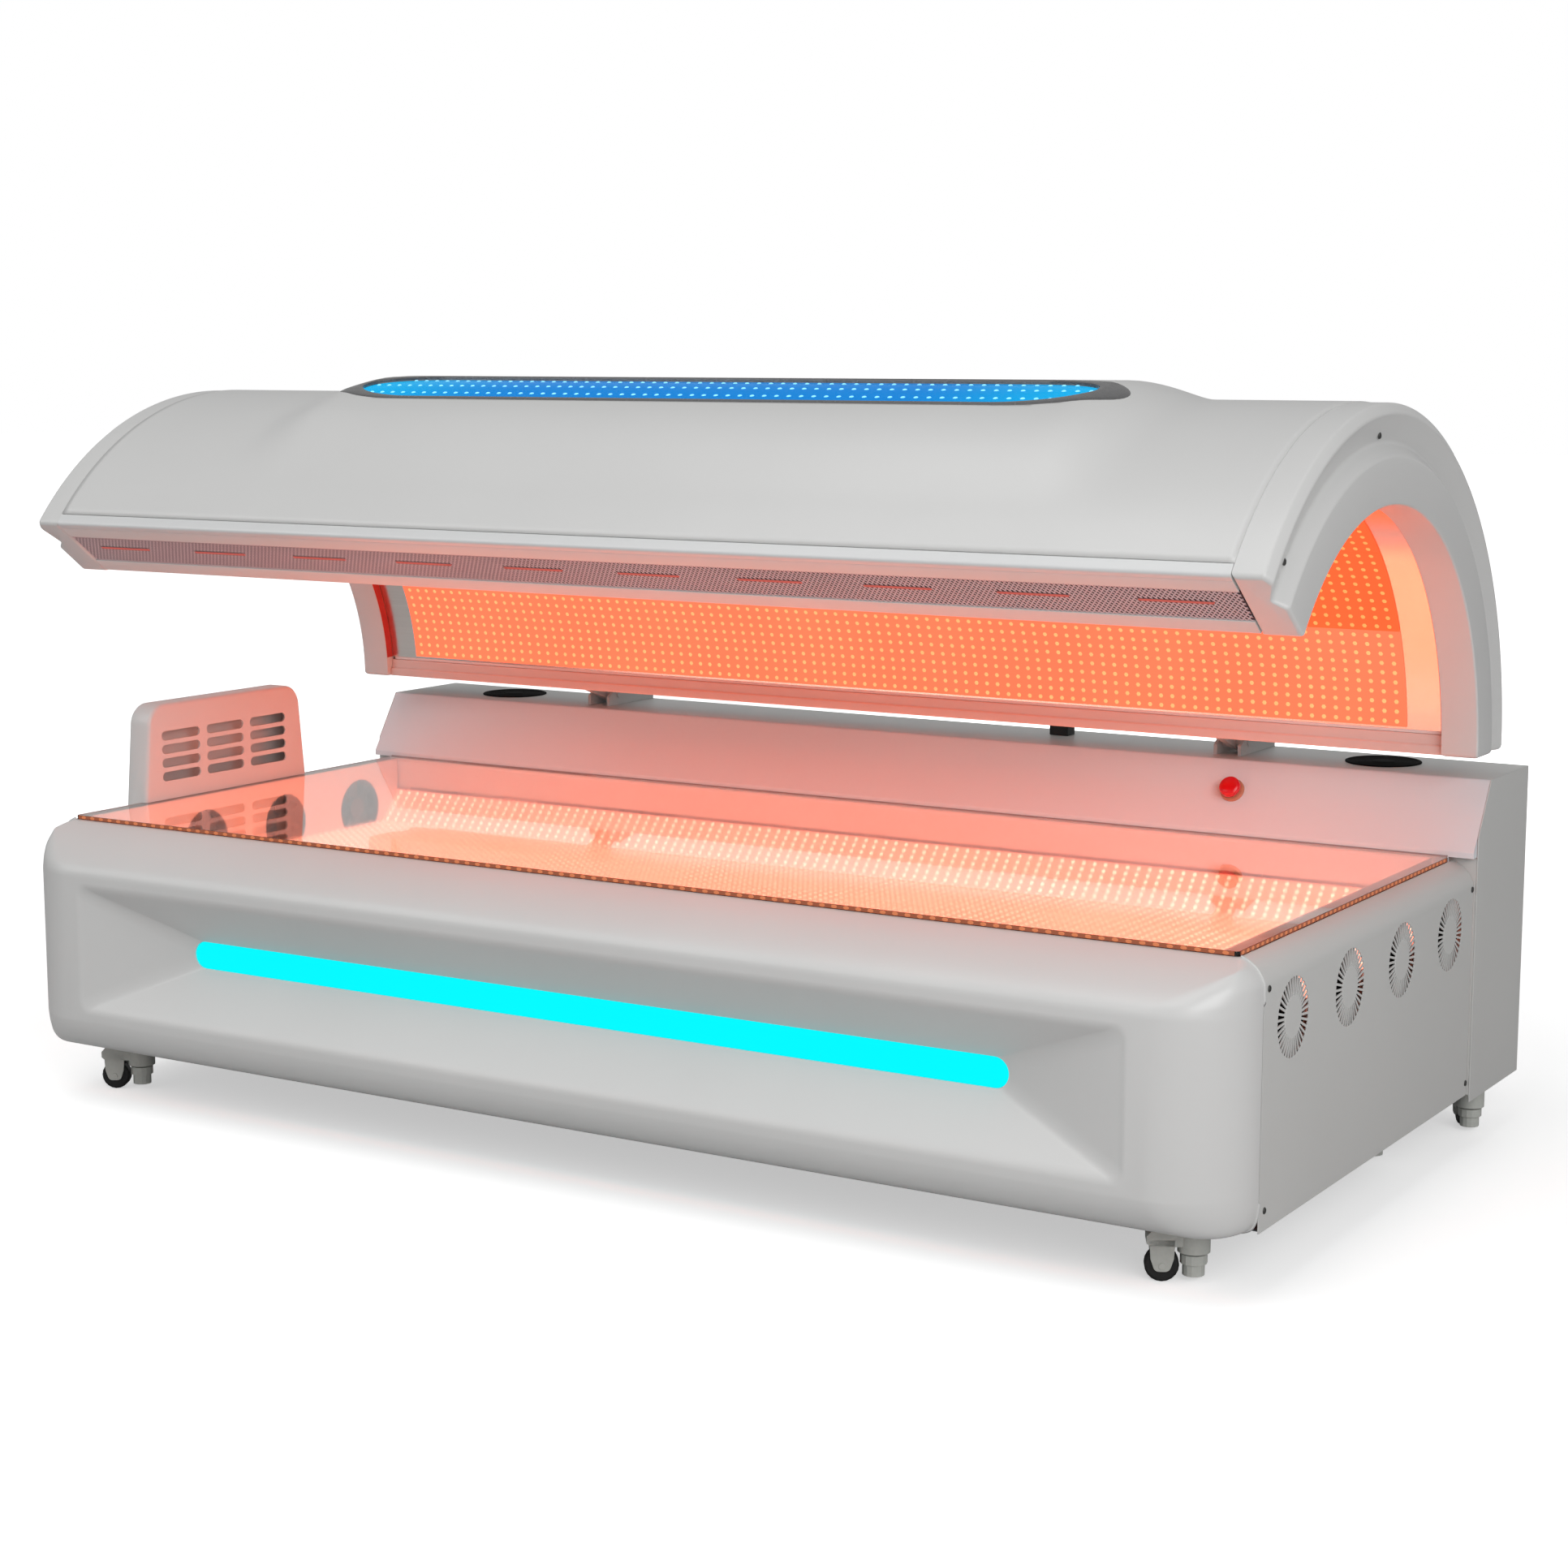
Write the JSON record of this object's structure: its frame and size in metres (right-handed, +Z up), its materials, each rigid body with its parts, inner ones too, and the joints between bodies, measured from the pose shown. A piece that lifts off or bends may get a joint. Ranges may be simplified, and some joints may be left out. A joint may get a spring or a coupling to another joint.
{
  "type": "red light therapy bed",
  "caption": "Long white lit bed on levelling casters with a clear flat top, a rear console and a hinged half-pipe canopy lined with light boards, for lying under light.",
  "frame": {"origin": "middle of the footprint, on the floor", "axes": "+X along the bed towards the foot end, +Y towards the rear cabinet, +Z up"},
  "size_m": [2.22, 1.21, 1.2213],
  "materials": {
    "white_moulding": "white satin moulding",
    "white_panel": "white powder coat",
    "dark_frame": "dark powder coat",
    "reflector": "white coated sheet",
    "acrylic": "clear polished sheet",
    "light_bar": "lit cyan diffuser",
    "red_board": "lit circuit board",
    "blue_board": "lit circuit board",
    "pane": "clear polished pane",
    "bezel": "grey gloss",
    "rail": "satin anodised",
    "vent_strip": "perforated sheet",
    "black": "black satin",
    "supply": "grey case, light because it is mostly air",
    "button": "red gloss",
    "steel": "plated",
    "caster_body": "grey nylon",
    "caster_wheel": "black"
  },
  "bodies": {
    "root": {"front_shell": "white_moulding", "light_bar_diffuser": "light_bar", "foot_end_panel": "white_panel", "head_end_panel": "white_panel", "light_tray": "reflector", "lower_led_boards": "red_board", "bed_acrylic": "acrylic", "rear_console": "white_panel", "rear_cabinet_wrap": "white_panel", "base_frame": "dark_frame", "power_supply": "supply", "mains_inlet": "black", "head_vent_box": "white_moulding", "fan_frames": "black", "deck_speaker_head": "black", "deck_speaker_foot": "black", "limit_switch": "black", "button_collar": "black", "hinge_bracket_head": "steel", "hinge_bracket_foot": "steel", "actuator_tube_head": "dark_frame", "actuator_tube_foot": "dark_frame"},
    "canopy": {"canopy_shell": "white_moulding", "canopy_end_cap_head": "white_moulding", "canopy_end_cap_foot": "white_moulding", "crown_bezel": "bezel", "crown_window": "pane", "crown_led_board": "blue_board", "front_rail": "rail", "front_vent_strip": "vent_strip", "rear_rail": "rail", "canopy_liner": "reflector", "upper_led_boards": "red_board", "hinge_arm_head": "steel", "hinge_arm_foot": "steel"},
    "actuator_rods": {"actuator_rod_head": "steel", "actuator_rod_foot": "steel"},
    "red_button": {"red_button": "button"},
    "fan_rotor_1": {"fan_rotor_1": "black"},
    "fan_rotor_2": {"fan_rotor_2": "black"},
    "fan_rotor_3": {"fan_rotor_3": "black"},
    "fan_rotor_4": {"fan_rotor_4": "black"},
    "caster_front_head": {"caster_front_head_housing": "caster_body"},
    "caster_front_head_wheel": {"caster_front_head_wheel": "caster_wheel"},
    "caster_front_head_pad": {"caster_front_head_pad": "caster_body"},
    "caster_middle_head": {"caster_middle_head_housing": "caster_body"},
    "caster_middle_head_wheel": {"caster_middle_head_wheel": "caster_wheel"},
    "caster_middle_head_pad": {"caster_middle_head_pad": "caster_body"},
    "caster_rear_head": {"caster_rear_head_housing": "caster_body"},
    "caster_rear_head_wheel": {"caster_rear_head_wheel": "caster_wheel"},
    "caster_rear_head_pad": {"caster_rear_head_pad": "caster_body"},
    "caster_front_foot": {"caster_front_foot_housing": "caster_body"},
    "caster_front_foot_wheel": {"caster_front_foot_wheel": "caster_wheel"},
    "caster_front_foot_pad": {"caster_front_foot_pad": "caster_body"},
    "caster_middle_foot": {"caster_middle_foot_housing": "caster_body"},
    "caster_middle_foot_wheel": {"caster_middle_foot_wheel": "caster_wheel"},
    "caster_middle_foot_pad": {"caster_middle_foot_pad": "caster_body"},
    "caster_rear_foot": {"caster_rear_foot_housing": "caster_body"},
    "caster_rear_foot_wheel": {"caster_rear_foot_wheel": "caster_wheel"},
    "caster_rear_foot_pad": {"caster_rear_foot_pad": "caster_body"}
  },
  "joints": [
    {"name": "canopy_hinge", "type": "hinge", "parent": "root", "child": "canopy", "pos_m": [0, 0.485, 0.617], "axis": [1, 0, 0], "range_deg": [0, 24]},
    {"name": "actuator_slide", "type": "slide", "parent": "root", "child": "actuator_rods", "axis": [0, 0, 1], "range_m": [0, 0.032]},
    {"name": "button_press", "type": "slide", "parent": "root", "child": "red_button", "axis": [0, 0.844, -0.5364], "range_m": [0, 0.004], "stiffness_N_per_m": 800},
    {"name": "fan_1_spin", "type": "hinge", "parent": "root", "child": "fan_rotor_1", "pos_m": [-1.0545, -0.413, 0.389], "axis": [1, 0, 0], "continuous": true},
    {"name": "fan_2_spin", "type": "hinge", "parent": "root", "child": "fan_rotor_2", "pos_m": [-1.0545, -0.2023, 0.389], "axis": [1, 0, 0], "continuous": true},
    {"name": "fan_3_spin", "type": "hinge", "parent": "root", "child": "fan_rotor_3", "pos_m": [-1.0545, 0.0084, 0.389], "axis": [1, 0, 0], "continuous": true},
    {"name": "fan_4_spin", "type": "hinge", "parent": "root", "child": "fan_rotor_4", "pos_m": [-1.0545, 0.2191, 0.389], "axis": [1, 0, 0], "continuous": true},
    {"name": "caster_front_head_swivel", "type": "hinge", "parent": "root", "child": "caster_front_head", "pos_m": [-0.985, -0.437, 0.09], "axis": [0, 0, 1], "continuous": true},
    {"name": "caster_front_head_roll", "type": "hinge", "parent": "caster_front_head", "child": "caster_front_head_wheel", "pos_m": [-1.02385, -0.45766, 0.024], "axis": [0.4695, -0.8829, 0], "continuous": true},
    {"name": "caster_front_head_level", "type": "slide", "parent": "caster_front_head", "child": "caster_front_head_pad", "axis": [0, 0, 1], "range_m": [-0.012, 0]},
    {"name": "caster_middle_head_swivel", "type": "hinge", "parent": "root", "child": "caster_middle_head", "pos_m": [-0.985, 0.262, 0.09], "axis": [0, 0, 1], "continuous": true},
    {"name": "caster_middle_head_roll", "type": "hinge", "parent": "caster_middle_head", "child": "caster_middle_head_wheel", "pos_m": [-1.02385, 0.24134, 0.024], "axis": [0.4695, -0.8829, 0], "continuous": true},
    {"name": "caster_middle_head_level", "type": "slide", "parent": "caster_middle_head", "child": "caster_middle_head_pad", "axis": [0, 0, 1], "range_m": [-0.012, 0]},
    {"name": "caster_rear_head_swivel", "type": "hinge", "parent": "root", "child": "caster_rear_head", "pos_m": [-1.06, 0.505, 0.09], "axis": [0, 0, 1], "continuous": true},
    {"name": "caster_rear_head_roll", "type": "hinge", "parent": "caster_rear_head", "child": "caster_rear_head_wheel", "pos_m": [-1.038, 0.5431, 0.024], "axis": [-0.866, 0.5, 0], "continuous": true},
    {"name": "caster_rear_head_level", "type": "slide", "parent": "caster_rear_head", "child": "caster_rear_head_pad", "axis": [0, 0, 1], "range_m": [-0.012, 0]},
    {"name": "caster_front_foot_swivel", "type": "hinge", "parent": "root", "child": "caster_front_foot", "pos_m": [0.985, -0.437, 0.09], "axis": [0, 0, 1], "continuous": true},
    {"name": "caster_front_foot_roll", "type": "hinge", "parent": "caster_front_foot", "child": "caster_front_foot_wheel", "pos_m": [0.94615, -0.45766, 0.024], "axis": [0.4695, -0.8829, 0], "continuous": true},
    {"name": "caster_front_foot_level", "type": "slide", "parent": "caster_front_foot", "child": "caster_front_foot_pad", "axis": [0, 0, 1], "range_m": [-0.012, 0]},
    {"name": "caster_middle_foot_swivel", "type": "hinge", "parent": "root", "child": "caster_middle_foot", "pos_m": [0.985, 0.262, 0.09], "axis": [0, 0, 1], "continuous": true},
    {"name": "caster_middle_foot_roll", "type": "hinge", "parent": "caster_middle_foot", "child": "caster_middle_foot_wheel", "pos_m": [0.94615, 0.24134, 0.024], "axis": [0.4695, -0.8829, 0], "continuous": true},
    {"name": "caster_middle_foot_level", "type": "slide", "parent": "caster_middle_foot", "child": "caster_middle_foot_pad", "axis": [0, 0, 1], "range_m": [-0.012, 0]},
    {"name": "caster_rear_foot_swivel", "type": "hinge", "parent": "root", "child": "caster_rear_foot", "pos_m": [1.06, 0.505, 0.09], "axis": [0, 0, 1], "continuous": true},
    {"name": "caster_rear_foot_roll", "type": "hinge", "parent": "caster_rear_foot", "child": "caster_rear_foot_wheel", "pos_m": [1.038, 0.5431, 0.024], "axis": [-0.866, -0.5, 0], "continuous": true},
    {"name": "caster_rear_foot_level", "type": "slide", "parent": "caster_rear_foot", "child": "caster_rear_foot_pad", "axis": [0, 0, 1], "range_m": [-0.012, 0]}
  ],
  "couplings": [
    {"joint": "actuator_slide", "follows": "canopy_hinge", "m_per_rad": 0.074453}
  ]
}
